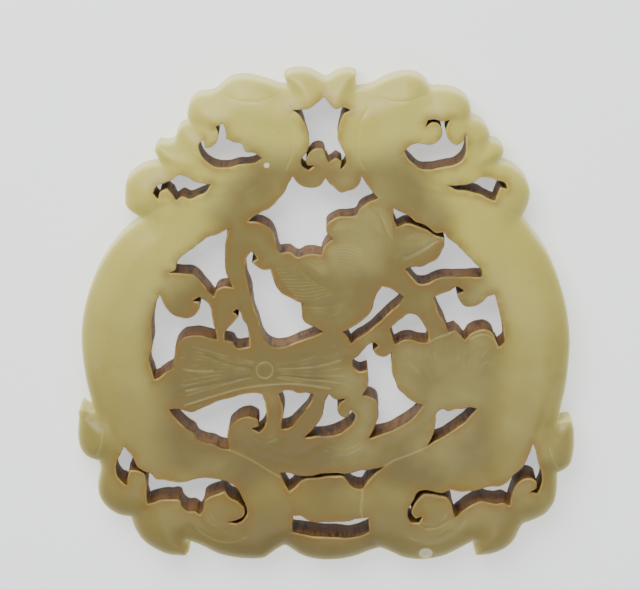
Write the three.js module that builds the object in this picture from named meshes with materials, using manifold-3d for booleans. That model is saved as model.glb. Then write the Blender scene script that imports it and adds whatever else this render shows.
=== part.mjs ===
// A pale celadon jade plaque, carved in openwork: two dragons whose long bodies make the ring,
// snout to snout at the top, round a lotus with its leaves, pod, stems and waves.
// Millimetres, +Z up. The plaque lies on its flat back, the carved face up and the heads at +Y.
// The origin is under the middle of its outline.
import * as THREE from 'three';
import { mergeVertices } from 'three/addons/utils/BufferGeometryUtils.js';
import Module from 'manifold-3d';

// ---- driving dimensions (mm) -------------------------------------------------------------
const BODY_CREST = 7.0;        // thickest place, along the dragons' backs
const EDGE_HEIGHT = 4.8;       // height of the outer wall, where the rounded shoulder starts
const SHOULDER_WIDTH = 4.6;    // from the outer wall in to the crest
const TRACERY_HEIGHT = 6.2;    // the flatter lotus and waves inside the ring
const CREST_END = 6.5;         // distance from the outer wall where the crest starts to fall
const TRACERY_START = 11.5;    // and where it has come down to the tracery
const RELIEF_STEP = 2.0;       // spacing of the grid that carries the domed face
const EDGE_STEP = 1.15;        // spacing of points along a sawn edge
const SAW_TOP = 9.0;           // the pierced blank is sawn this high, then ground to the dome
const LINE_WIDTH = 0.38;       // main incised lines: half width at the face
const LINE_DEPTH = 0.3;
const LINE_STEP = 1.3;         // spacing of points along them
const RING_SIDES = 12;
const JADE = { color: 0xa59a6a, roughness: 0.32, metalness: 0 };

// ---- outlines ----------------------------------------------------------------------------
// Each outline is a closed run of [x, y] points, with a third entry, C, at a sharp corner.
// Between corners the saw followed a smooth curve through the points.
const C = true;

const OUTER_EDGE = [
  // the left dragon: back of the body up to the neck
  [-33.0, -14.7, C], [-33.1, -14.2], [-34.0, -10.3], [-34.5, -6.4], [-34.6, -4.4], [-34.4, -1.4],
  [-33.9, 1.2], [-32.9, 4.2], [-31.2, 7.6], [-29.4, 10.1], [-27.6, 11.9], [-25.7, 13.3, C],
  // mane: three curls behind the jaw
  [-27.0, 14.1], [-28.0, 15.0], [-28.1, 16.2], [-27.9, 18.6], [-26.8, 19.8], [-25.1, 20.8],
  [-23.1, 21.0, C], [-23.6, 22.3], [-23.9, 23.4], [-23.3, 24.1, C], [-22.3, 23.9],
  [-21.1, 24.4, C], [-20.7, 25.7], [-19.9, 26.6], [-19.0, 26.8, C], [-19.3, 28.0], [-19.0, 29.5],
  [-18.1, 30.6], [-16.4, 30.9], [-15.3, 31.2],
  // crest of the head and the snout
  [-14.7, 31.8], [-13.0, 33.0], [-11.3, 33.2], [-8.4, 32.6], [-6.2, 31.8], [-5.4, 31.8, C],
  [-5.6, 32.7], [-5.9, 33.6, C], [-4.6, 34.1], [-2.5, 34.0], [-0.7, 33.1], [-0.2, 32.9, C],
  [0.7, 33.3], [2.6, 34.1], [4.1, 33.8, C], [4.1, 33.0], [3.9, 32.2], [4.2, 31.5, C],
  // the right dragon's crest and mane
  [6.2, 31.9], [8.6, 33.1], [11.1, 33.7], [13.1, 33.2], [13.9, 32.4], [14.5, 31.6, C], [16.0, 31.6],
  [18.0, 31.2], [19.4, 30.3], [20.0, 29.0], [20.0, 27.6, C], [21.2, 27.2], [22.5, 25.9],
  [22.7, 24.4, C], [23.6, 24.2], [24.6, 23.3, C], [24.5, 22.2], [24.0, 21.4, C], [25.7, 20.8],
  [27.6, 19.2], [28.4, 17.2], [28.2, 15.5], [27.4, 13.4, C],
  // back of the right body, down to its leaf
  [28.9, 11.3], [30.7, 8.8], [32.3, 5.5], [33.5, 1.8], [34.1, -1.2], [34.4, -4.4], [34.3, -7.4],
  [33.9, -11.2], [33.3, -14.2], [33.0, -16.2, C],
  // small leaf, then the lobes of the right tail
  [33.9, -16.1], [34.4, -15.6], [35.0, -16.3], [35.3, -18.6], [35.2, -20.9], [34.8, -22.5],
  [33.9, -23.4], [33.0, -23.8, C], [33.0, -25.9], [32.6, -28.2], [31.3, -30.0], [29.8, -30.8],
  [28.2, -31.5, C], [27.6, -32.5], [26.9, -34.0], [25.6, -35.2], [23.6, -36.0], [21.5, -36.2, C],
  [21.2, -35.1], [21.0, -34.1, C], [19.9, -34.7], [18.1, -35.7], [16.4, -36.4], [13.4, -36.8],
  [10.8, -36.4], [9.2, -35.6], [7.7, -35.1, C],
  // middle lobe and the left tail
  [6.4, -35.4], [4.1, -36.3], [1.5, -36.8], [-1.0, -36.8], [-3.4, -36.2], [-5.0, -35.2],
  [-5.9, -34.7, C], [-7.2, -35.3], [-8.8, -36.5], [-10.8, -36.7], [-13.2, -36.5], [-15.6, -35.9],
  [-17.9, -34.7], [-19.9, -33.9, C], [-19.6, -35.1], [-20.2, -36.2, C], [-22.5, -36.1],
  [-24.6, -35.2], [-26.4, -33.8], [-27.4, -32.2], [-28.0, -30.4, C], [-29.8, -30.0],
  [-31.5, -28.8], [-32.5, -27.1], [-32.6, -24.9], [-32.2, -22.9], [-32.4, -22.0, C], [-33.9, -21.5],
  [-34.9, -20.4], [-35.35, -18.3], [-35.2, -15.8], [-35.1, -14.2], [-34.6, -13.7], [-34.0, -14.4],
];

const GAPS = {
  // ---- the heads ----
  leftEye: [
    [-14.3, 27.2, C], [-15.1, 27.0], [-15.4, 26.2], [-15.0, 25.9], [-14.9, 25.0], [-15.6, 24.3],
    [-16.6, 23.4], [-16.9, 24.1], [-17.0, 24.95, C], [-17.6, 24.6], [-17.6, 23.4], [-17.2, 22.5],
    [-16.4, 21.7], [-15.4, 21.15], [-13.5, 21.0], [-11.8, 21.5], [-10.6, 21.35], [-9.7, 21.7],
    [-9.0, 22.2, C], [-10.0, 22.9], [-11.4, 23.3], [-11.7, 24.3, C], [-12.6, 24.55], [-13.5, 24.8],
    [-14.2, 25.5], [-13.9, 26.3],
  ],
  leftMane: [
    [-16.1, 18.6, C], [-16.6, 17.7], [-17.7, 17.1], [-19.0, 16.55, C], [-19.8, 17.0], [-20.6, 16.4],
    [-21.1, 16.4], [-21.7, 17.8], [-22.6, 18.0], [-23.2, 17.4], [-23.4, 16.5, C], [-24.0, 16.9],
    [-24.0, 17.9], [-23.1, 18.6], [-21.9, 18.8], [-20.9, 19.7], [-19.9, 19.95], [-18.9, 19.3],
    [-17.4, 18.8],
  ],
  beard: [
    [-0.35, 30.85, C], [0.15, 30.5], [0.5, 29.8], [0.9, 29.3], [1.7, 29.2], [2.6, 29.45],
    [3.35, 29.0, C], [2.6, 28.8], [2.0, 27.8], [1.6, 26.4], [1.55, 25.0], [2.0, 23.9], [2.6, 22.4],
    [2.6, 21.3], [1.95, 20.6, C], [2.15, 21.6], [1.8, 22.4], [1.0, 22.15], [0.3, 21.6, C],
    [0.0, 22.1], [-0.3, 23.3], [-1.0, 23.75], [-2.0, 23.35], [-2.7, 22.4], [-2.95, 21.3],
    [-2.4, 21.0], [-1.7, 21.15, C], [-2.1, 20.6], [-2.9, 20.55], [-3.5, 21.4], [-3.3, 22.5],
    [-2.5, 23.4], [-2.35, 24.3], [-2.6, 25.8], [-3.2, 27.6], [-3.9, 28.6], [-4.6, 29.0, C],
    [-3.4, 29.1], [-2.2, 29.4], [-1.2, 30.1],
  ],
  rightEye: [
    [10.8, 23.2, C], [11.2, 22.3], [12.0, 21.5], [12.8, 20.8], [13.9, 20.65], [16.4, 21.15],
    [17.8, 21.4], [18.8, 22.2], [19.25, 23.4], [19.2, 25.6, C], [18.9, 24.7], [18.4, 24.15],
    [17.4, 24.4], [16.6, 25.3], [16.5, 26.5], [17.0, 27.6, C], [15.9, 27.5], [14.3, 27.85],
    [13.8, 27.3], [13.7, 26.7, C], [14.3, 27.3], [15.3, 27.3], [15.95, 26.4], [15.8, 25.2],
    [14.9, 24.4], [13.7, 24.25], [12.6, 24.35], [11.5, 24.0],
  ],
  rightMane: [
    [16.9, 18.4, C], [18.0, 17.95], [19.5, 17.65], [20.9, 17.4], [22.3, 16.7], [23.4, 16.3, C],
    [23.7, 17.3], [24.2, 18.2], [25.1, 17.9, C], [25.4, 18.15], [24.5, 18.9], [23.4, 19.2],
    [22.4, 19.5], [21.3, 19.6], [20.5, 19.05], [19.6, 18.65], [18.3, 18.5],
  ],
  // ---- round the lotus ----
  lotus: [
    [-10.9, 13.2, C], [-9.6, 14.3], [-8.4, 14.75], [-7.5, 15.4], [-6.4, 16.65], [-5.5, 17.8],
    [-5.0, 19.2], [-4.7, 19.6, C], [-4.2, 18.8], [-3.5, 18.2], [-2.2, 17.95], [-1.1, 18.15],
    [-0.5, 18.8], [-0.15, 19.3, C], [0.5, 18.5], [2.0, 17.3, C], [3.4, 17.7], [4.4, 18.25],
    [4.9, 19.6, C], [5.5, 18.5], [6.25, 17.5], [7.2, 16.5, C], [5.8, 15.9], [4.7, 15.1],
    [4.1, 14.1, C], [2.9, 13.9], [1.6, 13.85], [0.7, 13.4], [0.0, 12.7], [0.0, 11.7],
    [0.9, 10.65, C], [0.2, 10.3], [-0.4, 9.6], [-0.7, 8.4, C], [-2.1, 8.6], [-3.2, 8.4],
    [-3.95, 8.05, C], [-4.8, 8.7], [-5.6, 8.95], [-6.5, 8.7, C], [-7.0, 10.1], [-7.4, 11.7],
    [-8.3, 12.5], [-9.5, 13.1],
  ],
  rolledLeaf: [
    [-13.7, 12.2, C], [-15.0, 11.45], [-16.3, 11.05], [-18.2, 9.8], [-20.0, 8.6], [-20.9, 7.5],
    [-21.1, 6.4], [-22.1, 5.95, C], [-21.0, 6.0], [-19.9, 5.8], [-19.0, 5.7], [-18.3, 5.4],
    [-17.35, 4.25], [-16.6, 3.4], [-15.8, 2.4, C], [-15.3, 3.5], [-14.5, 3.9], [-13.1, 3.7, C],
    [-13.8, 5.15], [-14.15, 6.6], [-14.2, 8.4], [-14.1, 10.2],
  ],
  curledLeaf: [
    [-23.35, 2.75, C], [-23.9, 1.6], [-24.3, 0.2], [-24.5, -2.0], [-24.5, -4.6], [-24.95, -6.6],
    [-24.6, -8.2], [-24.3, -9.5], [-23.9, -9.8], [-23.2, -8.8], [-22.2, -8.35], [-21.7, -7.9, C],
    [-21.5, -6.8], [-21.1, -4.7], [-20.4, -3.6], [-19.2, -3.2], [-17.7, -3.15], [-16.4, -3.5],
    [-15.4, -3.8, C], [-15.7, -2.4], [-16.1, -1.0], [-16.3, 0.8], [-16.8, 1.7], [-17.3, 1.8],
    [-17.8, 2.35], [-18.4, 2.3], [-18.75, 1.8, C], [-18.2, 2.0], [-17.75, 1.6], [-17.7, 1.0],
    [-18.3, -0.1], [-19.2, -0.7], [-20.1, -0.75], [-21.4, -0.25], [-22.2, 0.3], [-22.9, 1.5],
  ],
  bud: [
    [-12.1, 0.2, C], [-11.85, -0.8], [-11.3, -1.45], [-11.0, -2.4], [-10.95, -3.6],
    [-10.85, -4.8, C], [-11.7, -4.95], [-12.6, -5.0, C], [-12.95, -4.25], [-14.3, -3.9, C],
    [-14.35, -3.0], [-13.7, -2.0], [-13.2, -1.25], [-12.5, -1.0], [-12.35, -0.2], [-13.1, 0.2, C],
    [-12.9, 0.5], [-12.4, 0.55],
  ],
  stem: [
    [-10.55, 8.9, C], [-10.0, 8.4], [-9.7, 7.85, C], [-10.4, 7.6], [-10.4, 7.1], [-9.8, 6.75],
    [-8.9, 6.25], [-7.85, 6.3, C], [-7.5, 5.0], [-7.0, 3.7], [-5.9, 2.7], [-4.6, 1.95],
    [-3.3, 1.35, C], [-3.5, 0.3], [-3.35, -0.8], [-2.6, -1.6], [-1.5, -2.15], [-0.5, -2.65, C],
    [-1.6, -3.2], [-3.4, -3.85], [-5.0, -4.5], [-6.4, -4.85], [-7.4, -4.8], [-8.3, -4.2],
    [-8.9, -3.3], [-9.3, -1.8], [-9.9, 0.2], [-10.5, 2.5], [-11.0, 4.7], [-11.25, 6.8],
    [-11.1, 8.1],
  ],
  lotusStem: [
    [7.8, 3.85, C], [8.75, 3.65], [9.6, 3.2], [10.8, 2.4, C], [10.1, 1.35], [9.0, 0.4],
    [7.75, -0.95], [5.75, -2.65], [4.2, -3.65], [3.5, -4.35, C], [3.1, -3.5], [2.3, -2.7, C],
    [3.2, -2.35], [4.9, -1.15], [6.0, -0.1], [6.6, 1.2], [6.9, 2.5], [7.5, 3.4],
  ],
  arch: [
    [8.9, -2.2, C], [10.2, -1.0], [11.1, -0.35], [11.9, 0.05], [12.8, -0.4], [13.6, -1.5],
    [14.3, -3.0], [14.2, -4.2, C], [13.1, -4.15], [11.7, -3.75], [10.6, -3.95], [9.7, -4.45, C],
    [9.3, -3.4], [8.7, -2.6],
  ],
  // ---- round the seed pod ----
  podUpper: [
    [9.35, 15.1, C], [10.0, 14.5], [10.9, 14.4], [11.6, 13.9, C], [11.9, 13.4], [12.9, 13.0],
    [13.9, 12.5], [14.8, 11.85], [15.7, 11.35], [16.3, 11.6, C], [16.7, 11.3], [17.2, 10.5],
    [17.9, 10.2], [19.5, 8.6], [20.9, 7.2], [21.8, 6.1], [21.7, 5.3, C], [20.0, 5.3],
    [18.3, 5.3], [15.8, 5.2], [14.8, 4.75], [13.9, 4.3], [12.9, 4.3, C], [12.0, 5.3],
    [11.1, 6.4, C], [12.1, 6.7], [13.3, 6.7], [14.2, 7.25], [15.0, 7.35], [15.7, 8.3],
    [16.4, 9.6], [16.5, 10.9, C], [15.8, 10.85], [14.8, 11.5], [13.8, 12.15], [12.7, 12.6],
    [11.5, 12.95], [10.6, 12.85], [9.9, 12.4, C], [9.5, 13.2],
  ],
  podLower: [
    [15.1, 2.35, C], [16.2, 2.8], [17.4, 3.35], [18.1, 3.8], [18.8, 3.75], [19.3, 3.2, C],
    [18.7, 3.2], [18.25, 2.8], [18.6, 1.9], [19.5, 1.05], [20.7, 1.0], [21.8, 1.6], [22.6, 2.4],
    [23.2, 2.95], [23.75, 2.6], [24.0, 1.4], [24.5, -0.6], [24.85, -2.6], [24.9, -4.6],
    [24.3, -4.8, C], [23.9, -3.85], [23.4, -2.85], [22.5, -2.35], [21.4, -2.45], [20.2, -3.0],
    [19.5, -3.9, C], [18.8, -3.05], [17.9, -2.3], [17.2, -2.7, C], [16.6, -1.4], [15.6, 0.6],
  ],
  // ---- the waves ----
  water: [
    [6.1, -4.45, C], [5.2, -5.3], [4.25, -6.4], [3.5, -7.1], [3.9, -7.9], [4.8, -8.45],
    [5.8, -8.2, C], [5.95, -9.2], [5.8, -10.6], [5.1, -11.9, C], [5.9, -12.1], [6.8, -12.3],
    [7.3, -13.3], [7.35, -15.0], [6.8, -16.6], [6.0, -18.35, C], [7.5, -17.75], [9.6, -16.95],
    [11.4, -15.9], [12.8, -14.5], [13.75, -13.3, C], [13.0, -13.1], [12.0, -12.8], [11.2, -11.9],
    [10.3, -11.2], [9.7, -9.8], [9.15, -8.5], [9.15, -7.2], [9.25, -5.65, C], [8.6, -6.2],
    [7.6, -6.3], [6.8, -5.85], [6.5, -5.0], [7.3, -4.75, C], [7.0, -4.3],
  ],
  reed: [
    [15.6, -14.6, C], [16.2, -14.2], [16.7, -13.85], [17.5, -14.4], [18.2, -14.0], [19.6, -13.9],
    [20.8, -13.6], [21.25, -13.9, C], [20.3, -15.15], [18.6, -16.6], [16.7, -17.95],
    [15.2, -18.75], [14.3, -19.4, C], [15.0, -18.2], [15.45, -16.8],
  ],
  waveLeft: [
    [-22.3, -14.0, C], [-21.5, -13.9], [-20.2, -14.2], [-19.0, -14.45], [-18.0, -13.95],
    [-16.0, -13.1], [-13.6, -12.3], [-11.6, -11.75], [-10.2, -11.6], [-9.1, -11.8, C],
    [-8.7, -13.2], [-8.45, -14.6], [-8.7, -16.2], [-9.2, -17.3], [-10.0, -17.3],
    [-10.6, -16.8, C], [-9.8, -16.7], [-9.3, -16.1], [-9.9, -15.4], [-11.2, -15.0],
    [-12.5, -15.5], [-13.6, -16.4], [-14.1, -18.0], [-13.75, -19.8, C], [-14.7, -19.8],
    [-16.1, -19.05], [-17.8, -18.65], [-18.6, -18.0], [-18.8, -17.4, C], [-19.6, -17.0],
    [-21.1, -15.6],
  ],
  waveMiddle: [
    [-6.75, -11.7, C], [-5.3, -11.1], [-4.3, -11.65], [-3.1, -11.55], [-1.9, -11.8, C],
    [-2.4, -13.3], [-3.8, -15.1], [-5.1, -16.6], [-6.3, -16.9, C], [-6.3, -15.8], [-6.0, -14.6],
    [-6.2, -13.2],
  ],
  waveCurl: [
    [0.35, -11.8, C], [1.0, -12.5], [2.65, -12.45, C], [1.9, -13.1], [1.55, -14.0], [2.0, -14.9],
    [2.7, -15.4], [3.3, -14.9], [3.4, -14.2, C], [3.9, -14.3], [4.1, -15.2], [3.6, -16.2],
    [2.4, -17.2], [0.7, -17.85], [-1.4, -17.95], [-3.1, -18.15, C], [-1.9, -16.9],
    [-0.8, -15.6], [-0.4, -14.3], [-0.2, -12.9],
  ],
  // ---- above and below the little vase ----
  vaseTop: [
    [-6.5, -23.4, C], [-5.4, -23.35], [-4.0, -23.75], [-2.2, -23.85], [-0.4, -23.45],
    [1.2, -23.35], [3.2, -23.5], [4.4, -23.1], [6.2, -22.95], [8.1, -22.5, C], [6.8, -23.6],
    [5.7, -24.8], [5.1, -25.7, C], [4.1, -25.6], [3.2, -25.0], [2.8, -24.05], [1.0, -23.85],
    [-1.0, -24.1], [-3.2, -24.2], [-4.3, -25.2], [-5.3, -26.0, C], [-5.9, -24.9],
  ],
  vaseFoot: [
    [-4.7, -29.6, C], [-4.0, -29.4], [-2.6, -30.2], [-0.6, -30.5], [2.2, -30.45], [4.0, -30.1],
    [6.0, -29.8, C], [6.15, -31.9, C], [4.6, -32.65], [1.2, -32.7], [-1.6, -32.6],
    [-4.8, -32.05, C],
  ],
  // ---- the tails ----
  leftTail: [
    [-28.65, -19.3, C], [-27.8, -20.4], [-27.2, -21.4], [-26.7, -22.4], [-25.7, -23.0],
    [-24.9, -23.3, C], [-24.7, -23.95], [-23.6, -24.1], [-22.1, -24.5], [-20.3, -24.75],
    [-18.9, -24.3], [-17.4, -24.1], [-15.0, -24.4], [-13.3, -25.1], [-12.3, -26.3],
    [-11.8, -27.5], [-11.2, -28.7], [-11.6, -29.8], [-12.6, -30.6], [-14.0, -30.4, C],
    [-12.8, -30.2], [-11.7, -29.4], [-11.7, -28.4], [-12.9, -27.3], [-13.8, -26.9],
    [-14.4, -25.95, C], [-15.6, -26.35], [-16.7, -26.75], [-17.5, -27.5], [-17.6, -28.8],
    [-18.0, -29.4, C], [-18.9, -28.8], [-20.0, -28.75], [-20.7, -27.8], [-20.9, -27.2, C],
    [-22.3, -27.05], [-23.5, -27.1], [-25.4, -27.8, C], [-25.6, -26.4], [-25.5, -25.0],
    [-25.7, -23.4], [-26.5, -23.1], [-27.2, -22.55], [-27.9, -22.7], [-28.2, -23.6],
    [-28.3, -25.0, C], [-29.2, -24.4], [-29.9, -23.3], [-29.8, -22.0], [-29.3, -20.5],
  ],
  rightTail: [
    [29.3, -18.9, C], [29.8, -20.4], [30.2, -22.3], [30.65, -23.8], [30.5, -25.4], [29.9, -26.3],
    [29.0, -26.0, C], [29.8, -25.7], [30.0, -24.8], [29.4, -24.05], [28.2, -24.0], [27.2, -24.7],
    [26.5, -26.0], [26.1, -28.0, C], [25.5, -27.9], [24.9, -27.35], [23.9, -27.8], [22.3, -27.25],
    [20.7, -27.9], [19.0, -29.2], [18.4, -29.8, C], [18.0, -28.4], [17.5, -27.1], [16.2, -26.65],
    [13.8, -26.5], [12.9, -27.4], [12.15, -28.6], [12.3, -29.7], [13.0, -30.0], [13.7, -29.6, C],
    [13.6, -30.3], [12.6, -30.65], [11.8, -30.1], [11.6, -28.8], [12.4, -27.3], [13.4, -25.95],
    [15.4, -26.2], [17.0, -26.2], [17.6, -25.8, C], [18.7, -26.0], [20.4, -25.9], [22.4, -25.5],
    [23.6, -25.2], [24.9, -25.15], [25.6, -24.6], [26.5, -23.6], [27.7, -22.5], [28.5, -20.8],
  ],
};

// Main incised lines on the face, each an open run of points with smooth curves between them.
const LINES = {
  leftTailBorder: [[-13.9, -19.9], [-11.9, -20.8], [-9.9, -21.9], [-8.0, -23.1], [-6.7, -23.6]],
  rightTailBorder: [[14.1, -19.5], [11.5, -20.6], [9.3, -21.6], [8.0, -22.5]],
  broadLeafRim: [[-20.0, -13.3], [-16.0, -12.0], [-12.2, -10.9], [-8.0, -10.3], [-4.4, -10.2],
    [0.5, -10.9]],
  leftBrow: [[-14.5, 31.1], [-12.4, 30.4], [-10.2, 30.2], [-7.7, 30.6], [-5.6, 31.4]],
  rightBrow: [[14.0, 31.0], [12.2, 30.5], [10.2, 30.2], [7.9, 30.5], [5.4, 31.3]],
  leftCheek: [[-5.9, 29.4], [-4.9, 27.4], [-4.6, 25.2], [-4.8, 22.8], [-5.6, 20.7]],
  rightCheek: [[5.7, 29.4], [4.6, 27.2], [4.2, 24.8], [4.4, 22.4], [5.2, 20.6]],
};

// Eyes and the drilled ring-and-dot on the broad leaf: [x, y, radius].
const RINGS = {
  leftEye: [-8.6, 24.3, 1.35],
  rightEye: [9.1, 24.0, 1.35],
  leafRing: [-8.7, -8.2, 1.15],
};

// A closed outline as a fine polygon: straight to a corner, smooth in between.
function traceOutline(points, spacing) {
  const first = points.findIndex((p) => p[2]);
  const ordered = [...points.slice(first), ...points.slice(0, first), points[first]];
  const outline = [];
  let run = [ordered[0]];
  for (const point of ordered.slice(1)) {
    run.push(point);
    if (!point[2]) continue;
    const places = run.map(([x, y]) => new THREE.Vector3(x, y, 0));
    const curve = new THREE.CatmullRomCurve3(places, false, 'centripetal');
    const pieces = Math.max(2, Math.round(curve.getLength() / spacing));
    for (const place of curve.getSpacedPoints(pieces).slice(0, -1)) {
      outline.push(new THREE.Vector2(place.x, place.y));
    }
    run = [point];
  }
  return outline;
}

// ---- solids ------------------------------------------------------------------------------
const wasm = await Module();
wasm.setup();

function toSolid(geometry) {
  const bare = geometry.index ? geometry.toNonIndexed() : geometry.clone();
  bare.deleteAttribute('normal');
  bare.deleteAttribute('uv');
  const merged = mergeVertices(bare, 1e-4);
  return new wasm.Manifold(new wasm.Mesh({
    numProp: 3,
    vertProperties: Float32Array.from(merged.attributes.position.array),
    triVerts: Uint32Array.from(merged.index.array),
  }));
}

function toGeometry(solid) {
  const { vertProperties, triVerts } = solid.getMesh();
  const geometry = new THREE.BufferGeometry();
  geometry.setAttribute('position', new THREE.BufferAttribute(vertProperties, 3));
  geometry.setIndex(new THREE.BufferAttribute(triVerts, 1));
  return geometry;
}

// An outline extruded straight up, from one height to another.
function prism(outline, low, high) {
  const geometry = new THREE.ExtrudeGeometry(new THREE.Shape(outline), {
    depth: high - low,
    bevelEnabled: false,
  });
  geometry.translate(0, 0, low);
  return toSolid(geometry);
}

// The blank: the outline with every gap sawn straight through it.
function sawnBlank(outer) {
  let blank = prism(outer, 0, SAW_TOP);
  for (const gap of Object.values(GAPS)) {
    blank = blank.subtract(prism(traceOutline(gap, EDGE_STEP), -1, SAW_TOP + 1));
  }
  return blank;
}

// Distance from a place to the outer wall, positive inside it.
function insetFrom(outer, x, y) {
  let nearest = Infinity;
  let inside = false;
  outer.forEach((a, i) => {
    const b = outer[(i + 1) % outer.length];
    const along = (x - a.x) * (b.x - a.x) + (y - a.y) * (b.y - a.y);
    const t = THREE.MathUtils.clamp(along / a.distanceToSquared(b), 0, 1);
    nearest = Math.min(nearest, Math.hypot(a.x + t * (b.x - a.x) - x, a.y + t * (b.y - a.y) - y));
    if ((a.y > y) !== (b.y > y) && x < a.x + ((b.x - a.x) * (y - a.y)) / (b.y - a.y)) {
      inside = !inside;
    }
  });
  return inside ? nearest : -nearest;
}

// Height of the ground face: a rounded shoulder up to the dragons' backs, then down to the tracery.
// The slope carries on just past the outer wall, so that the grid stays true at the edge.
function faceHeight(inset) {
  const rise = BODY_CREST - EDGE_HEIGHT;
  const climb = Math.min(inset / SHOULDER_WIDTH, 1);
  const shoulder = EDGE_HEIGHT + rise * (climb < 0 ? 2 * climb : 1 - (1 - climb) ** 2);
  const fall = THREE.MathUtils.smoothstep(inset, CREST_END, TRACERY_START);
  return shoulder - (BODY_CREST - TRACERY_HEIGHT) * fall;
}

// A closed slab from the back up to the ground face, on a square grid a little past the outline.
function reliefSlab(outer) {
  const reach = new THREE.Box2().setFromPoints(outer).expandByScalar(RELIEF_STEP);
  const size = reach.getSize(new THREE.Vector2());
  const columns = Math.ceil(size.x / RELIEF_STEP);
  const rows = Math.ceil(size.y / RELIEF_STEP);
  const slab = new THREE.BoxGeometry(size.x, size.y, 2, columns, rows, 1);
  const middle = reach.getCenter(new THREE.Vector2());
  slab.translate(middle.x, middle.y, 1);
  const place = slab.attributes.position;
  for (let i = 0; i < place.count; i++) {
    if (place.getZ(i) > 1) {
      place.setZ(i, faceHeight(insetFrom(outer, place.getX(i), place.getY(i))));
    } else {
      place.setZ(i, 0);
    }
  }
  return toSolid(slab);
}

// A V-shaped cut along a run of places on the face, as a closed three-sided bar.
function vCut(path, outer, closed) {
  const corners = [];
  const faces = [];
  const ways = path.length;
  path.forEach((place, i) => {
    const before = path[closed ? (i + ways - 1) % ways : Math.max(i - 1, 0)];
    const after = path[closed ? (i + 1) % ways : Math.min(i + 1, ways - 1)];
    const along = new THREE.Vector2(after.x - before.x, after.y - before.y).normalize();
    const face = faceHeight(insetFrom(outer, place.x, place.y));
    for (const [side, rise] of [[LINE_WIDTH, LINE_DEPTH], [-LINE_WIDTH, LINE_DEPTH], [0, -LINE_DEPTH]]) {
      corners.push(place.x - along.y * side, place.y + along.x * side, face + rise);
    }
  });
  for (let i = 0; i < (closed ? ways : ways - 1); i++) {
    const here = 3 * i;
    const next = 3 * ((i + 1) % ways);
    for (const [a, b] of [[0, 1], [1, 2], [2, 0]]) {
      faces.push(here + a, next + b, next + a, here + a, here + b, next + b);
    }
  }
  if (!closed) {
    const last = 3 * (ways - 1);
    faces.push(0, 2, 1, last, last + 1, last + 2);
  }
  const geometry = new THREE.BufferGeometry();
  geometry.setAttribute('position', new THREE.Float32BufferAttribute(corners, 3));
  geometry.setIndex(faces);
  return toSolid(geometry);
}

// Every main line and ring, as one cutter for each.
function carvedLines(outer) {
  const cuts = [];
  for (const line of Object.values(LINES)) {
    const curve = new THREE.SplineCurve(line.map(([x, y]) => new THREE.Vector2(x, y)));
    const pieces = Math.round(curve.getLength() / LINE_STEP);
    cuts.push(vCut(curve.getSpacedPoints(pieces), outer, false));
  }
  for (const [x, y, radius] of Object.values(RINGS)) {
    const circle = new THREE.EllipseCurve(x, y, radius, radius);
    cuts.push(vCut(circle.getPoints(RING_SIDES).slice(0, -1), outer, true));
  }
  return cuts;
}

// ---- the plaque --------------------------------------------------------------------------
function jadePlaque() {
  const outer = traceOutline(OUTER_EDGE, EDGE_STEP);
  let plaque = sawnBlank(outer).intersect(reliefSlab(outer));
  for (const cut of carvedLines(outer)) {
    plaque = plaque.subtract(cut);
  }
  const geometry = toGeometry(plaque);
  geometry.computeBoundingBox();
  const middle = geometry.boundingBox.getCenter(new THREE.Vector3());
  geometry.translate(-middle.x, -middle.y, 0);
  return geometry;
}

const plaque = new THREE.Mesh(jadePlaque(), new THREE.MeshStandardMaterial(JADE));
plaque.name = 'jade_plaque';

const carving = new THREE.Group();
carving.add(plaque);

export default carving;
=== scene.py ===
# %% [markdown]
# # A jade plaque, carved in openwork
# Two dragons whose long bodies make a ring meet snout to snout over a lotus, its leaves, its
# seed pod and a band of waves. The whole plaque is one stone, about 70 mm across and 7 mm thick.
# A carver draws the design on a flat slab, drills and saws out every gap with a wire and wet
# grit, grinds the face to a soft dome, cuts the lines with small wheels and polishes it.
# The script works in that order: blank, gaps, dome, lines, wear, then the stone's colours.
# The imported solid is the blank. It gives the outlines and the size, and everything here is
# made in the same frame, in metres, lying on its flat back with the face up.

# %% The frame
import math

import bmesh
import bpy
import numpy as np
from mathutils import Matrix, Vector
from mathutils.geometry import delaunay_2d_cdt
from mathutils.kdtree import KDTree


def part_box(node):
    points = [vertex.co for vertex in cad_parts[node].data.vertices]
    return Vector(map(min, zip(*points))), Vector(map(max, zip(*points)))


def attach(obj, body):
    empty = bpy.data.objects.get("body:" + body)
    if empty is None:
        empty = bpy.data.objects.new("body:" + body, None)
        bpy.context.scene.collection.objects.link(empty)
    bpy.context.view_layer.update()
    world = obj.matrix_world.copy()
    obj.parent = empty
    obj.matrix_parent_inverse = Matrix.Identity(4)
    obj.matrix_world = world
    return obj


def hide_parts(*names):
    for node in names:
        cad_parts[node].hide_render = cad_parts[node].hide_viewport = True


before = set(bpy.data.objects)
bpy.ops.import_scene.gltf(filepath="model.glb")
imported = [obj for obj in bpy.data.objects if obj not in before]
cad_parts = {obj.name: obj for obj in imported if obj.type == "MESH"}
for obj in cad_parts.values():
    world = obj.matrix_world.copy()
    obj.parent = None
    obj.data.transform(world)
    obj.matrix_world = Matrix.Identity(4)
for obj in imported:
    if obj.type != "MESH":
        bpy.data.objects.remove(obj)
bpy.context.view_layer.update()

MM = 0.001
NODE = "jade_plaque"
low_corner, high_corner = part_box(NODE)
CREST = high_corner.z / MM
print(f"plaque {(high_corner - low_corner) / MM} mm, crest at {CREST:.2f} mm")

# %% [markdown]
# ## The sawn outlines
# The outer edge and each of the gaps are closed lines that the saw followed. They can be drawn
# again by hand, or read from the solid, where they are the edges between its flat back and its
# walls. Reading them keeps the looks and the solid exactly together, so that is done here. The
# solid's outlines are polygons with sides of about a millimetre. A smooth curve through their
# corners gives back the saw's path, and a corner that turns sharply stays a corner.

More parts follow.
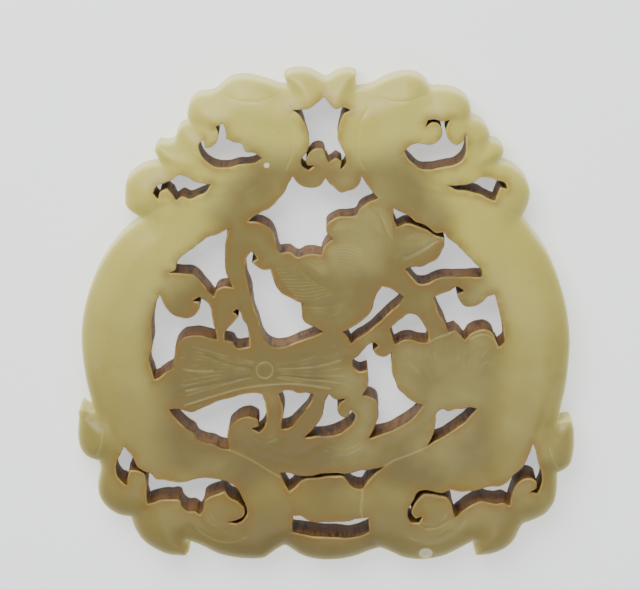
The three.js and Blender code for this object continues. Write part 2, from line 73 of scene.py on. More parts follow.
# %% Closed loops round the flat back
def back_loops(node):
    """The closed runs of points, in mm, where the flat back of the solid meets its walls."""
    solid = bmesh.new()
    solid.from_mesh(node.data)
    bmesh.ops.remove_doubles(solid, verts=solid.verts, dist=1e-6)
    flat = {f for f in solid.faces if max(v.co.z for v in f.verts) < 1e-5}
    links = {}
    for edge in solid.edges:
        if len([f for f in edge.link_faces if f in flat]) == 1:
            a, b = edge.verts
            links.setdefault(a, []).append(b)
            links.setdefault(b, []).append(a)
    loops = []
    while links:
        start = next(iter(links))
        loop, here, before = [], start, None
        while here in links:
            ways = links.pop(here)
            loop.append((here.co.x / MM, here.co.y / MM))
            here, before = next((w for w in ways if w is not before), start), here
        loops.append(np.array(loop))
    solid.free()
    return loops


def signed_area(loop):
    x, y = loop[:, 0], loop[:, 1]
    return 0.5 * float(np.sum(x * np.roll(y, -1) - np.roll(x, -1) * y))


raw_loops = sorted(back_loops(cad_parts[NODE]), key=lambda l: -abs(signed_area(l)))
print(len(raw_loops), "outlines,", sum(len(l) for l in raw_loops), "points")

# %% The saw's path through those points
RIM_STEP = 0.3          # mm between points along an edge
CORNER_TURN = 62        # degrees: a sharper turn stays a corner


def turns(loop):
    """How sharply a closed outline turns at each of its points, in degrees."""
    to = np.roll(loop, -1, axis=0) - loop
    come = loop - np.roll(loop, 1, axis=0)
    cross = come[:, 0] * to[:, 1] - come[:, 1] * to[:, 0]
    return np.degrees(np.arctan2(cross, np.sum(come * to, axis=1)))


def smooth_run(points, step):
    """A centripetal Catmull-Rom curve through a run of points, in even steps, without its end."""
    p = np.vstack([2 * points[0] - points[1], points, 2 * points[-1] - points[-2]])
    knots = np.concatenate([[0], np.cumsum(np.linalg.norm(np.diff(p, axis=0), axis=1) ** 0.5)])
    fine = []
    for i in range(1, len(p) - 2):
        t0, t1, t2, t3 = knots[i - 1:i + 3]
        t = np.linspace(t1, t2, 12, endpoint=False)[:, None]
        a1 = (t1 - t) / (t1 - t0) * p[i - 1] + (t - t0) / (t1 - t0) * p[i]
        a2 = (t2 - t) / (t2 - t1) * p[i] + (t - t1) / (t2 - t1) * p[i + 1]
        a3 = (t3 - t) / (t3 - t2) * p[i + 1] + (t - t2) / (t3 - t2) * p[i + 2]
        b1 = (t2 - t) / (t2 - t0) * a1 + (t - t0) / (t2 - t0) * a2
        b2 = (t3 - t) / (t3 - t1) * a2 + (t - t1) / (t3 - t1) * a3
        fine.append((t2 - t) / (t2 - t1) * b1 + (t - t1) / (t2 - t1) * b2)
    fine = np.vstack(fine + [points[-1:]])
    gone = np.concatenate([[0], np.cumsum(np.linalg.norm(np.diff(fine, axis=0), axis=1))])
    count = max(2, round(gone[-1] / step))
    even = np.linspace(0, gone[-1], count, endpoint=False)
    return np.column_stack([np.interp(even, gone, fine[:, k]) for k in (0, 1)])


def saw_path(loop, step):
    """A closed outline, smooth between its corners and with even steps."""
    corners = np.nonzero(np.abs(turns(loop)) > CORNER_TURN)[0]
    if len(corners) == 0:
        corners = np.array([0])
    runs = []
    for here, there in zip(corners, np.roll(corners, -1)):
        span = (there - here) % len(loop) or len(loop)
        runs.append(smooth_run(loop[(here + np.arange(span + 1)) % len(loop)], step))
    return np.vstack(runs)


def material_on_left(loop, outer):
    """The outer edge runs anticlockwise and a gap clockwise, so the stone is on the left."""
    return loop if (signed_area(loop) > 0) == outer else loop[::-1]


drawn_rims = [saw_path(material_on_left(loop, i == 0), RIM_STEP)
              for i, loop in enumerate(raw_loops)]
print("edges:", sum(len(rim) for rim in drawn_rims), "points at", RIM_STEP, "mm")

# %% [markdown]
# The wire never ran true. It wandered a little from the drawn line at the face, and more at
# the back, where the carver couldn't see it, so no two walls are quite upright or even. The
# face's outlines and the back's get their own smooth wander, from a seeded random run.

# %% The wire's wander
CALM_TURN = 14                             # degrees: the wire was led slowly round bends
FACE_WANDER = ((0.07, 5), (0.035, 2))      # mm, and how many points to a turn
BACK_WANDER = ((0.18, 9), (0.05, 3))
random = np.random.default_rng(7)


def left_normals(run, closed):
    """Unit normals on the left of a run of points, which is the stone's side of an outline."""
    if closed:
        along = np.roll(run, -1, axis=0) - np.roll(run, 1, axis=0)
    else:
        along = np.gradient(run, axis=0)
    along /= np.linalg.norm(along, axis=1)[:, None] + 1e-12
    return np.column_stack([-along[:, 1], along[:, 0]])


def wander(count, wavelength):
    """A smooth closed run from -1 to 1 that turns about once in so many points."""
    knots = max(3, round(count / wavelength))
    heights = random.uniform(-1, 1, knots)
    at = np.linspace(0, knots, count, endpoint=False)
    i = at.astype(int)
    t = at - i
    t = t * t * (3 - 2 * t)
    return heights[i] * (1 - t) + heights[(i + 1) % knots] * t


def wandered(rim, reaches):
    """An outline moved sideways by a sum of wanders, each given by its reach and wavelength."""
    shift = sum(reach * wander(len(rim), wavelength) for reach, wavelength in reaches)
    sharp = np.abs(turns(rim))
    near = np.maximum.reduce([np.roll(sharp, k) for k in (-2, -1, 0, 1, 2)])
    return rim + left_normals(rim, True) * (shift / (1 + (near / CALM_TURN) ** 2))[:, None]


# the outer edge was ground true and keeps inside the blank, so only the gaps wander
flat_low, flat_high = (np.array(corner.xy) / MM for corner in (low_corner, high_corner))
outer_rim, *gap_rims = drawn_rims
outer_rim = np.clip(outer_rim, flat_low, flat_high)
rims = [outer_rim] + [wandered(rim, FACE_WANDER) for rim in gap_rims]
back_rims = [outer_rim] + [wandered(rim, BACK_WANDER) for rim in gap_rims]

# %% [markdown]
# ## How far a place is from an edge
# The dome, the rounded rims, the stain and the density of the mesh all depend on how near a
# place is to the outer edge or to a gap. A search tree over closely spaced edge points answers
# that for every vertex at once, and an even-odd count along a ray tells stone from air.

# %% Distance to the edges, and stone or air
FINE_STEP = 0.06        # mm between the points that stand for an edge in a search


def dense(rim):
    """The same closed outline with points every FINE_STEP."""
    closed = np.vstack([rim, rim[:1]])
    parts = []
    for a, b in zip(closed[:-1], closed[1:]):
        count = max(1, math.ceil(np.linalg.norm(b - a) / FINE_STEP))
        parts.append(a + (b - a) * np.arange(count)[:, None] / count)
    return np.vstack(parts)


def tree_of(points):
    tree = KDTree(len(points))
    for i, (x, y) in enumerate(points):
        tree.insert((x, y, 0), i)
    tree.balance()
    return tree


class Plan:
    """One level of the stone from above: its outlines, and what is near or inside them."""

    def __init__(self, outlines):
        self.outlines = outlines
        self.outer_tree = tree_of(dense(outlines[0]))
        self.gap_tree = tree_of(np.vstack([dense(r) for r in outlines[1:]]))

    def to_outer(self, places):
        return np.array([self.outer_tree.find((x, y, 0))[2] for x, y in places])

    def to_gap(self, places):
        return np.array([self.gap_tree.find((x, y, 0))[2] for x, y in places])

    def to_edge(self, places):
        return np.minimum(self.to_outer(places), self.to_gap(places))

    def in_stone(self, places):
        """Whether each place is inside the outer edge and outside every gap."""
        inside = np.zeros(len(places), bool)
        x, y = places[:, 0], places[:, 1]
        for rim in self.outlines:
            for (ax, ay), (bx, by) in zip(rim, np.roll(rim, -1, axis=0)):
                if ay != by:
                    level = (ay > y) != (by > y)
                    inside ^= level & (x < ax + (bx - ax) * (y - ay) / (by - ay))
        return inside


face_plan, back_plan = Plan(rims), Plan(back_rims)


# %% [markdown]
# ## The carved lines
# The design's drawn lines are listed here as a carver would stroke them: a few points along
# each, in millimetres on the drawing, whose zero is a little below the plaque's middle. Three
# kinds are cut. Folds part one form from the next, wide and shallow. Cuts are the V-shaped
# lines of a small wheel. Hairlines are the fine strokes that fill petals, leaves and pod, and
# most of those come in fans and rows, so they are made by loops from a few sizes.

# %% Strokes that part the forms
DRAWING_ZERO = np.array([0.02, 1.37])

FOLDS = {
    "left mane": [[-19.2, 27.1], [-17.6, 26.9], [-16.4, 26.4], [-15.5, 26.2]],
    "left mane tip": [[-22.3, 23.9], [-21.4, 23.2], [-21.1, 22.3]],
    "left nape": [[-22.9, 21.4], [-21.3, 21.2], [-19.5, 20.8], [-18.2, 20.5]],
    "left jaw": [[-16.0, 18.3], [-14.0, 18.2], [-12.0, 18.5], [-10.2, 19.2]],
    "left throat": [[-19.0, 16.2], [-16.5, 16.5], [-14.0, 16.8], [-11.8, 17.3], [-9.9, 18.6]],
    "left collar": [[-25.5, 13.9], [-23.6, 15.1], [-21.8, 15.9], [-20.3, 16.3]],
    "right mane": [[20.0, 27.6], [18.6, 27.5], [17.2, 27.9]],
    "right mane tip": [[22.7, 24.4], [21.9, 23.6], [21.7, 22.6]],
    "right nape": [[24.2, 21.8], [23.3, 21.4], [22.2, 21.0], [20.7, 20.8]],
    "right jaw": [[12.0, 20.1], [13.5, 19.1], [15.1, 18.6], [16.8, 18.4]],
    "right throat": [[11.3, 19.5], [12.5, 18.2], [14.3, 17.3], [16.5, 17.0], [19.0, 17.0],
                     [21.4, 16.4]],
    "right collar": [[27.0, 13.9], [25.4, 14.9], [23.9, 15.7]],
    "petal back": [[4.4, 13.9], [5.4, 13.2], [6.3, 12.3], [6.9, 11.2], [7.3, 9.8], [7.7, 8.3]],
    "petal left": [[1.0, 10.5], [2.6, 10.75], [4.2, 10.6], [5.5, 10.0], [6.4, 9.1], [6.9, 8.1]],
    "petal front": [[-0.7, 8.3], [0.0, 7.2], [0.9, 6.3], [2.2, 5.6], [3.8, 5.1], [5.5, 4.9]],
    "petal low": [[-3.95, 7.9], [-3.3, 6.9], [-2.4, 5.8], [-1.3, 4.8], [0.3, 4.0], [2.0, 3.6]],
    "petal foot": [[-3.2, 1.4], [-1.6, 1.2], [0.5, 1.4], [1.7, 1.8], [2.4, 2.4], [3.6, 2.8]],
    "petal under": [[2.3, 0.2], [3.4, 1.4], [4.4, 3.2], [5.0, 4.7]],
    "petal tip": [[5.9, 15.7], [6.9, 14.6], [7.6, 13.2], [8.1, 11.6], [8.3, 10.0]],
    "petal right": [[9.6, 12.6], [9.5, 11.2], [9.3, 9.6], [9.0, 8.0]],
    "petal rib": [[9.2, 7.8], [11.4, 8.3], [13.4, 9.3], [15.9, 10.8]],
    "leaf upper vein": [[-17.4, -5.9], [-15.4, -6.8], [-13.0, -7.6], [-10.6, -8.0]],
    "leaf lower vein": [[-21.3, -11.4], [-17.5, -10.7], [-14.0, -9.9], [-10.2, -9.1]],
    "leaf right vein": [[-6.6, -7.8], [-3.0, -7.7], [0.0, -7.1], [2.8, -6.2]],
    "leaf lobe": [[-6.8, -9.1], [-3.0, -9.5], [0.5, -9.7], [4.2, -10.3]],
    "pod left lobe": [[14.6, -4.8], [14.5, -6.6], [14.9, -8.6], [15.9, -10.6]],
    "pod right lobe": [[19.5, -4.0], [20.0, -5.6], [20.0, -7.6], [19.2, -10.0]],
    "pod rib": [[12.7, -7.3], [13.6, -8.2], [14.2, -9.2], [15.2, -10.5]],
    "wave one": [[-10.9, -18.7], [-9.0, -19.5], [-7.4, -19.3], [-6.2, -18.2]],
    "wave two": [[-7.3, -20.1], [-5.2, -20.9], [-3.4, -20.6], [-1.8, -19.6], [0.2, -18.9]],
    "wave three": [[0.2, -20.7], [2.0, -21.4], [3.9, -21.2], [5.6, -20.2], [6.7, -18.9]],
    "wave left": [[-13.4, -18.9], [-11.2, -20.0], [-8.4, -21.3], [-5.2, -22.2]],
    "wave right": [[8.4, -19.6], [11.2, -18.2], [13.4, -16.6], [14.6, -15.0]],
    "vase left": [[-5.3, -26.0], [-4.9, -27.4], [-4.7, -29.6]],
    "left lobe": [[-4.9, -32.1], [-5.2, -33.3], [-5.9, -34.7]],
    "right lobe": [[6.2, -31.9], [6.6, -33.4], [7.7, -35.1]],
    "left scroll": [[-18.2, -29.5], [-17.4, -31.1], [-15.8, -31.8], [-14.0, -31.6]],
    "left scroll edge": [[-19.4, -31.4], [-17.6, -32.8], [-15.2, -33.0], [-13.0, -32.3],
                         [-11.2, -30.9]],
    "right scroll": [[14.0, -31.4], [15.9, -31.1], [17.5, -30.2], [18.3, -29.7]],
    "right scroll edge": [[11.9, -31.5], [13.4, -32.8], [15.2, -33.1], [17.0, -32.5],
                          [18.8, -30.9]],
    "left tail lobe": [[-25.5, -27.9], [-26.4, -29.2], [-27.9, -30.3]],
    "right tail lobe": [[26.1, -28.1], [26.9, -29.7], [28.1, -31.4]],
    "left leaf": [[-33.0, -8.6], [-32.2, -11.6], [-31.2, -14.6], [-30.1, -17.4], [-28.8, -19.3]],
    "right leaf": [[32.9, -9.0], [31.8, -12.2], [30.6, -15.4], [29.4, -18.8]],
    "bud": [[-15.9, 0.8], [-15.7, 2.3], [-14.6, 3.2], [-13.3, 3.0], [-12.4, 1.9], [-12.1, 0.7]],
}

CUTS = {
    "left tail border": [[-13.9, -19.9], [-11.9, -20.8], [-9.9, -21.9], [-8.0, -23.1],
                         [-6.7, -23.9]],
    "right tail border": [[14.2, -19.5], [11.5, -20.7], [9.3, -21.6], [8.1, -22.5]],
    "broad leaf rim": [[-20.0, -13.3], [-16.0, -12.0], [-12.2, -10.9], [-8.0, -10.3],
                       [-4.4, -10.2], [0.5, -10.9]],
    "left brow": [[-14.5, 31.1], [-12.4, 30.4], [-10.2, 30.2], [-7.7, 30.6], [-5.6, 31.4]],
    "right brow": [[14.0, 31.0], [12.2, 30.5], [10.2, 30.2], [7.9, 30.5], [5.4, 31.3]],
    "left cheek": [[-5.9, 29.4], [-4.9, 27.4], [-4.6, 25.2], [-4.8, 22.8], [-5.6, 20.7]],
    "right cheek": [[5.7, 29.4], [4.6, 27.2], [4.2, 24.8], [4.4, 22.4], [5.2, 20.6]],
    "left leaf fold": [[-31.7, -17.2], [-31.9, -18.8], [-32.7, -21.0]],
    "right leaf fold": [[31.6, -19.6], [32.0, -21.0], [33.0, -22.9]],
    "pod rim": [[14.5, -4.0], [16.0, -3.3], [17.4, -2.9]],
    "pod arc": [[20.2, -3.7], [21.3, -3.1], [22.6, -3.1], [23.6, -3.9], [24.1, -5.0]],
    "vase right": [[5.1, -25.7], [5.05, -27.2], [4.9, -28.6], [5.2, -29.9]],
    "leaf vein": [[-20.0, -8.1], [-18.0, -8.35], [-16.0, -8.3]],
}
print(len(FOLDS), "folds and", len(CUTS), "cuts")

# %% Hairlines in fans, rows and rings
def bowed(a, b, bow):
    """A stroke from a to b that bows to its left by a share of its length."""
    a, b = np.array(a, float), np.array(b, float)
    side = np.array([a[1] - b[1], b[0] - a[0]])
    t = np.linspace(0, 1, 7)[:, None]
    return a + (b - a) * t + side * bow * 4 * t * (1 - t)


def between(first, last, count, start=0.0, end=1.0):
    """Strokes spread from one stroke to another, each cut to the stretch from start to end."""
    first, last = (smooth_run(np.array(s, float), 0.4) for s in (first, last))
    t = np.linspace(start, end, 9)
    strokes = []
    for share in np.linspace(0, 1, count):
        places = [np.column_stack([np.interp(t, np.linspace(0, 1, len(s)), s[:, k])
                                   for k in (0, 1)]) for s in (first, last)]
        strokes.append(places[0] * (1 - share) + places[1] * share)
    return strokes


def ring(x, y, radius, start=0, end=360):
    """A circle, or an arc of it between two angles in degrees."""
    angle = np.radians(np.linspace(start, end, max(6, round(abs(end - start) / 15))))
    return np.column_stack([x + radius * np.cos(angle), y + radius * np.sin(angle)])


# Rows of strokes: the first one, the last one, and how many there are in all.
PETAL_AND_LEAF_ROWS = {
    "petal back": ([[1.0, 12.0], [3.6, 12.2], [6.2, 10.8]],
                   [[1.6, 13.2], [4.2, 13.3], [6.6, 11.6]], 5),
    "petal left": ([[0.3, 9.3], [2.6, 9.9], [5.2, 9.0]],
                   [[0.9, 7.0], [2.6, 6.6], [5.4, 5.9]], 8),
    "petal front": ([[-3.3, 7.6], [-2.0, 6.8], [0.0, 5.3]],
                    [[-1.0, 8.0], [-0.6, 7.2], [0.8, 5.6]], 5),
    "petal low": ([[-7.0, 6.3], [-4.6, 6.4], [-2.8, 5.6]],
                  [[-4.2, 2.2], [-2.0, 2.0], [1.0, 2.9]], 10),
    "petal foot": ([[-2.9, 0.9], [-0.4, 0.8], [2.2, 1.4]],
                   [[-2.4, -1.0], [-0.2, -0.6], [2.4, 0.4]], 4),
    "petal tip": ([[6.3, 15.7], [7.6, 14.0], [8.6, 11.4]],
                  [[8.6, 14.6], [9.0, 12.8], [9.2, 10.4]], 5),
    "petal tip, inner": ([[4.8, 14.8], [5.8, 13.7], [7.3, 11.6]],
                         [[6.0, 15.8], [7.0, 14.0], [7.9, 11.4]], 4),
    "petal right": ([[15.6, 11.0], [12.6, 11.4], [10.0, 10.4]],
                    [[15.4, 10.4], [12.8, 8.6], [10.4, 7.6]], 9),
    # long veins that gather at the broad leaf's ring
    "leaf lower left": ([[-20.8, -7.6], [-15.0, -7.4], [-10.4, -7.8]],
                        [[-19.6, -11.9], [-15.0, -10.5], [-10.4, -9.0]], 7),
    "leaf upper left": ([[-18.8, -4.8], [-14.0, -6.2], [-10.0, -7.1]],
                        [[-20.6, -6.4], [-15.0, -7.0], [-10.2, -7.6]], 4),
    "leaf right": ([[-6.9, -7.4], [-2.0, -6.4], [1.6, -4.4]],
                   [[-6.8, -9.4], [-2.0, -10.2], [3.4, -11.4]], 7),
}
WAVE_ROWS = {
    "wave left": ([[-10.4, -18.2], [-8.6, -18.9], [-6.8, -18.2]],
                  [[-9.4, -17.9], [-8.4, -18.2], [-7.2, -17.4]], 2),
    "wave right": ([[0.0, -20.1], [2.4, -20.7], [5.4, -19.4]],
                   [[0.2, -19.4], [2.4, -19.9], [5.0, -18.9]], 2),
}
POD_FOOT = (17.0, -13.2)
POD_ROWS = ((6.6, 46, 7), (8.0, 50, 9), (9.3, 52, 10))    # radius, half spread, how many
POD_STROKE = 0.9
POD_NARROWING = 0.82         # the pod is narrower than a round fan
EYES = ((-8.6, 24.3), (9.1, 24.0))
LEAF_RING = (-8.7, -8.2)
LEFT_SCROLL = (-14.3, -28.6)
RIGHT_SCROLL = (14.9, -28.5)


def rows_of(table):
    return [stroke for first, last, count in table.values()
            for stroke in between(first, last, count)]


def pod_strokes():
    """Short strokes that stand in rows round the pod's foot."""
    strokes = []
    for row, (radius, spread, count) in enumerate(POD_ROWS):
        for turn in np.linspace(-spread, spread, count):
            angle = math.radians(90 - turn * (1 - 0.06 * (row % 2)))
            way = np.array([math.cos(angle), math.sin(angle)])
            foot = np.array([POD_FOOT[0] + POD_NARROWING * radius * way[0],
                             POD_FOOT[1] + radius * way[1]])
            strokes.append(bowed(foot, foot + POD_STROKE * way, 0))
    return strokes


def eye(x, y):
    """Two rings, a lid over them and a bag under them."""
    return [ring(x, y, 0.75), ring(x, y, 1.35), ring(x, y - 0.4, 2.75, 35, 145),
            ring(x, y, 2.0, 200, 330)]


def hairlines():
    lines = rows_of(PETAL_AND_LEAF_ROWS) + pod_strokes()
    for x, y in EYES:
        lines += eye(x, y)
    lines += [ring(*LEAF_RING, 0.5)]
    # arcs beside the folds of the tails' scrolls
    lines += [ring(*LEFT_SCROLL, radius, 200, 305) for radius in (2.2, 2.8, 5.0)]
    lines += [ring(*RIGHT_SCROLL, radius, 235, 340) for radius in (2.3, 3.0, 5.2)]
    return lines + rows_of(WAVE_ROWS)


HAIRLINES = hairlines()
DRILLED_RING = [ring(*LEAF_RING, 1.15)]


def drawn(strokes, step):
    """Strokes as smooth runs of points in the plaque's frame, in mm."""
    return [np.vstack([smooth_run(np.array(s, float), step), s[-1]]) + DRAWING_ZERO
            for s in strokes]


LINE_STEP = 0.25        # mm between points along a stroke
FOLD_STEP = 0.6
folds = drawn(FOLDS.values(), FOLD_STEP)
cuts = drawn(list(CUTS.values()) + DRILLED_RING, LINE_STEP)
hairs = drawn(HAIRLINES, LINE_STEP)
print(len(hairs), "hairlines")

# %% [markdown]
# ## The ground face
# After sawing, the front is ground to a low dome: a rounded shoulder from the outer wall up to
# the dragons' backs, then down again to the lotus, which lies a little lower inside the ring.
# The edges of the gaps stay crisp from the saw, with only a touch of rounding from the polish,
# and the outer edge is rounded more. The dome is a formula of the distance to the outer edge,
# which is how a carver sees it too. Sculpting it by hand would be slower and less even.

# %% Height of the face from the distances
EDGE_HEIGHT = 4.8        # mm: outer wall, where the shoulder starts
SHOULDER = 4.6           # mm from the wall in to the crest
CREST_END = 6.5          # mm in where the crest starts to fall
TRACERY_START = 11.5     # mm in where it is down to the tracery
TRACERY_DROP = 0.8
OUTER_ROUND = 0.30       # mm the outer edge is rounded over
GAP_ROUND = 0.20
BACK_ROUND = 0.35


def smoothstep(value, low, high):
    t = np.clip((value - low) / (high - low), 0, 1)
    return t * t * (3 - 2 * t)


def rounded(inset, radius):
    """How far a quarter-round edge drops at a distance in from it."""
    t = np.clip(1 - inset / radius, 0, 1)
    return radius * (1 - np.sqrt(1 - t * t))


def face_height(outer, gap):
    """The ground face's height at its distances from the outer edge and from a gap."""
    climb = np.clip(outer / SHOULDER, 0, 1)
    dome = EDGE_HEIGHT + (CREST - EDGE_HEIGHT) * (1 - (1 - climb) ** 2)
    dome -= TRACERY_DROP * smoothstep(outer, CREST_END, TRACERY_START)
    return dome - rounded(outer, OUTER_ROUND) - rounded(gap, GAP_ROUND)


# %% [markdown]
# ## A skin for the stone
# The plaque is one closed skin: a face, a flat back and a ribbon of wall round every outline.
# A voxel remesh would blur the crisp edges of the gaps, and a boolean would leave long thin
# triangles. A constrained triangulation keeps the outlines exactly and takes its other points
# wherever they are given: in rows beside the edges, along every carved line, and on an even
# grid elsewhere. The back is finished plainly, so it gets a coarser grid.

# %% Points for the face and the back
GRID_STEP = 0.46                                # all in mm
ROW_INSETS = (0.1, 0.24, 0.5, 0.85)             # rows beside each edge
LINE_OFFSETS = (0, -0.11, 0.11, -0.24, 0.24)    # rows along each cut line
ROW_SPACING, LINE_SPACING, GRID_SPACING = 0.07, 0.085, 0.27
LINE_CLEARANCE, GRID_CLEARANCE = 0.12, 0.3      # how near to an edge a point may stand
BACK_GRID, BACK_SPACING, BACK_CLEARANCE = 1.6, 0.2, 0.9


def grid(step):
    """A staggered grid over the whole plaque."""
    low, high = rims[0].min(axis=0), rims[0].max(axis=0)
    rows = np.arange(low[1], high[1], step * math.sqrt(3) / 2)
    columns = np.arange(low[0], high[0], step)
    return np.array([(x + (i % 2) * step / 2, y) for i, y in enumerate(rows) for x in columns])


def thin_out(places, spacing, taken):
    """Only the places that keep their spacing from the taken ones and from each other."""
    cells = {}
    for x, y in taken:
        cells.setdefault((int(x // spacing), int(y // spacing)), []).append((x, y))
    kept = []
    for x, y in places:
        i, j = int(x // spacing), int(y // spacing)
        near = (p for a in (-1, 0, 1) for b in (-1, 0, 1) for p in cells.get((i + a, j + b), ()))
        if all((x - p[0]) ** 2 + (y - p[1]) ** 2 > spacing ** 2 for p in near):
            cells.setdefault((i, j), []).append((x, y))
            kept.append((x, y))
    return np.array(kept).reshape(-1, 2)


def face_points():
    """Rows along the edges, rows along the carved lines, and a grid between them."""
    rows = [rim + left_normals(rim, True) * inset for inset in ROW_INSETS for rim in rims]
    depth = np.repeat(ROW_INSETS, sum(len(r) for r in rims))
    rows = np.vstack(rows)
    rows = rows[face_plan.to_edge(rows) > 0.9 * depth]
    rows = rows[face_plan.in_stone(rows)]
    rows = thin_out(rows, ROW_SPACING, [])
    lines = np.vstack([run + left_normals(run, False) * off
                       for off in LINE_OFFSETS for run in cuts + hairs])
    lines = lines[face_plan.to_edge(lines) > LINE_CLEARANCE]
    lines = lines[face_plan.in_stone(lines)]
    lines = thin_out(lines, LINE_SPACING, rows)
    even = grid(GRID_STEP)
    even = even[face_plan.to_edge(even) > GRID_CLEARANCE]
    even = even[face_plan.in_stone(even)]
    even = thin_out(even, GRID_SPACING, np.vstack([rows, lines]))
    print("face rows", len(rows), "line points", len(lines), "grid", len(even))
    return np.vstack([rows, lines, even])


def back_points():
    """One row along the edges and a coarse grid."""
    even = grid(BACK_GRID)
    even = even[back_plan.to_edge(even) > BACK_CLEARANCE]
    rows = np.vstack([rim + left_normals(rim, True) * BACK_ROUND for rim in back_rims])
    rows = rows[back_plan.to_edge(rows) > 0.9 * BACK_ROUND]
    rows = thin_out(rows, BACK_SPACING, [])
    places = np.vstack([rows, even])
    return places[back_plan.in_stone(places)]


def triangulate(plan, inner):
    """Triangles over the stone: the outlines' points come first, then the inner ones."""
    places = np.vstack(plan.outlines + [inner])
    edges, start = [], 0
    for rim in plan.outlines:
        edges += [(start + i, start + (i + 1) % len(rim)) for i in range(len(rim))]
        start += len(rim)
    result = delaunay_2d_cdt([Vector(p) for p in places], edges, [], 0, 1e-7, True)
    corners, triangles, sources = result[0], np.array(result[2]), result[3]
    own = np.array([s[0] if s else -1 for s in sources])
    print("new points from crossing outlines:", int((own < 0).sum()))
    triangles = own[triangles]
    middles = places[triangles].mean(axis=1)
    return places, triangles[plan.in_stone(middles)]


face_places, face_triangles = triangulate(face_plan, face_points())
back_places, back_triangles = triangulate(back_plan, back_points())
print("face", len(face_triangles), "triangles, back", len(back_triangles))

# %% Small losses
CHIPS = {                # x and y on the drawing, radius and depth, mm
    "foot": (14.3, -35.6, 1.0, 0.8),
    "left head": (-8.3, 21.15, 0.36, 0.1),
    "wave": (3.55, -14.4, 0.3, 0.15),
    "right notch": (21.4, -34.3, 0.6, 0.35),
    "left notch": (-19.9, -34.4, 0.6, 0.35),
    "left leaf tip": (-33.8, -15.2, 0.9, 0.35),
    "right leaf tip": (33.3, -18.0, 0.8, 0.25),
    "left tail bruise": (-24.6, -19.7, 0.6, 0.05),
}
WHITE_CHIPS = ("foot", "left head", "wave")


def chipped(places):
    """How much the losses take off the face at each place."""
    taken = np.zeros(len(places))
    for x, y, radius, depth in CHIPS.values():
        off = np.hypot(*(places - DRAWING_ZERO - (x, y)).T) / radius
        taken = np.maximum(taken, depth * np.clip(1 - off ** 2, 0, 1) ** 0.6)
    return taken


# %% The saw's marks in the gaps
WALL_FRACTIONS = (0.03, 0.09, 0.2, 0.32, 0.44, 0.56, 0.68, 0.8, 0.92)    # down a wall
SAW_MARK = 0.05          # mm deep
MARK_START = 0.12        # share of the wall over which the marks come in


def saw_marks(count):
    """A ragged closed run from 0 to 1, because the wire wandered as it was worked round."""
    rough = random.random(count)
    return np.clip(0.6 * rough + 0.4 * np.roll(rough, 1), 0, 1)


def wall_rows(tops):
    """Rows of points down every wall, from the face's edge to the back's rounded edge."""
    top, bottom = np.vstack(rims), np.vstack(back_rims)
    inward = np.vstack([left_normals(rim, True) for rim in rims])
    marks = np.concatenate([np.zeros(len(rims[0]))] + [saw_marks(len(rim)) for rim in rims[1:]])
    rows = []
    for fraction in WALL_FRACTIONS:
        ease = min(1.0, fraction / MARK_START)
        places = top + (bottom - top) * fraction + inward * (SAW_MARK * ease * marks)[:, None]
        heights = tops + (BACK_ROUND - tops) * fraction
        rows.append(np.column_stack([places, heights]))
    return rows


# %% One closed skin
edge_count = sum(len(r) for r in rims)
outer_count = len(rims[0])
face_outer, face_gap = face_plan.to_outer(face_places), face_plan.to_gap(face_places)
face_outer[:outer_count] = 0
face_gap[outer_count:edge_count] = 0
face_z = face_height(face_outer, face_gap) - chipped(face_places)
back_inset = back_plan.to_edge(back_places)
back_inset[:edge_count] = 0
back_z = rounded(back_inset, BACK_ROUND)
walls = wall_rows(face_z[:edge_count])

points = np.vstack([np.column_stack([face_places, face_z]), *walls,
                    np.column_stack([back_places, back_z])])
wall_start, back_start = len(face_places), len(face_places) + len(walls) * edge_count
rings = [np.arange(edge_count)]
rings += [wall_start + i * edge_count + np.arange(edge_count) for i in range(len(walls))]
rings += [back_start + np.arange(edge_count)]
after = np.concatenate([s + np.roll(np.arange(n), -1) for s, n in
                        zip(np.cumsum([0] + [len(r) for r in rims[:-1]]), map(len, rims))])


def turned(triangles, places, up):
    """Triangles that all face up, or all face down."""
    a, b, c = (places[triangles[:, k]] for k in range(3))
    area = (b - a)[:, 0] * (c - a)[:, 1] - (b - a)[:, 1] * (c - a)[:, 0]
    flip = (area > 0) != up
    triangles[flip] = triangles[flip][:, ::-1]
    return triangles


faces = turned(face_triangles, face_places, True).tolist()
faces += (turned(back_triangles, back_places, False) + back_start).tolist()
for upper, lower in zip(rings[:-1], rings[1:]):
    faces += np.column_stack([upper, lower, lower[after], upper[after]]).tolist()

mesh = bpy.data.meshes.new("jade_carving")
mesh.from_pydata((points * MM).tolist(), [], faces)
mesh.shade_smooth()
jade = bpy.data.objects.new("jade_carving", mesh)
bpy.context.scene.collection.objects.link(jade)
count = sum(len(f) - 2 for f in faces)
print(f"skin: {len(points)} points, {count} triangles")

# %% What the finish needs to know at each point
FADE_DEPTH = 3            # mm down a wall to where the carved lines die out


def store(name, values):
    attribute = mesh.attributes.new(name, "FLOAT", "POINT")
    attribute.data.foreach_set("value", np.asarray(values, np.float32))


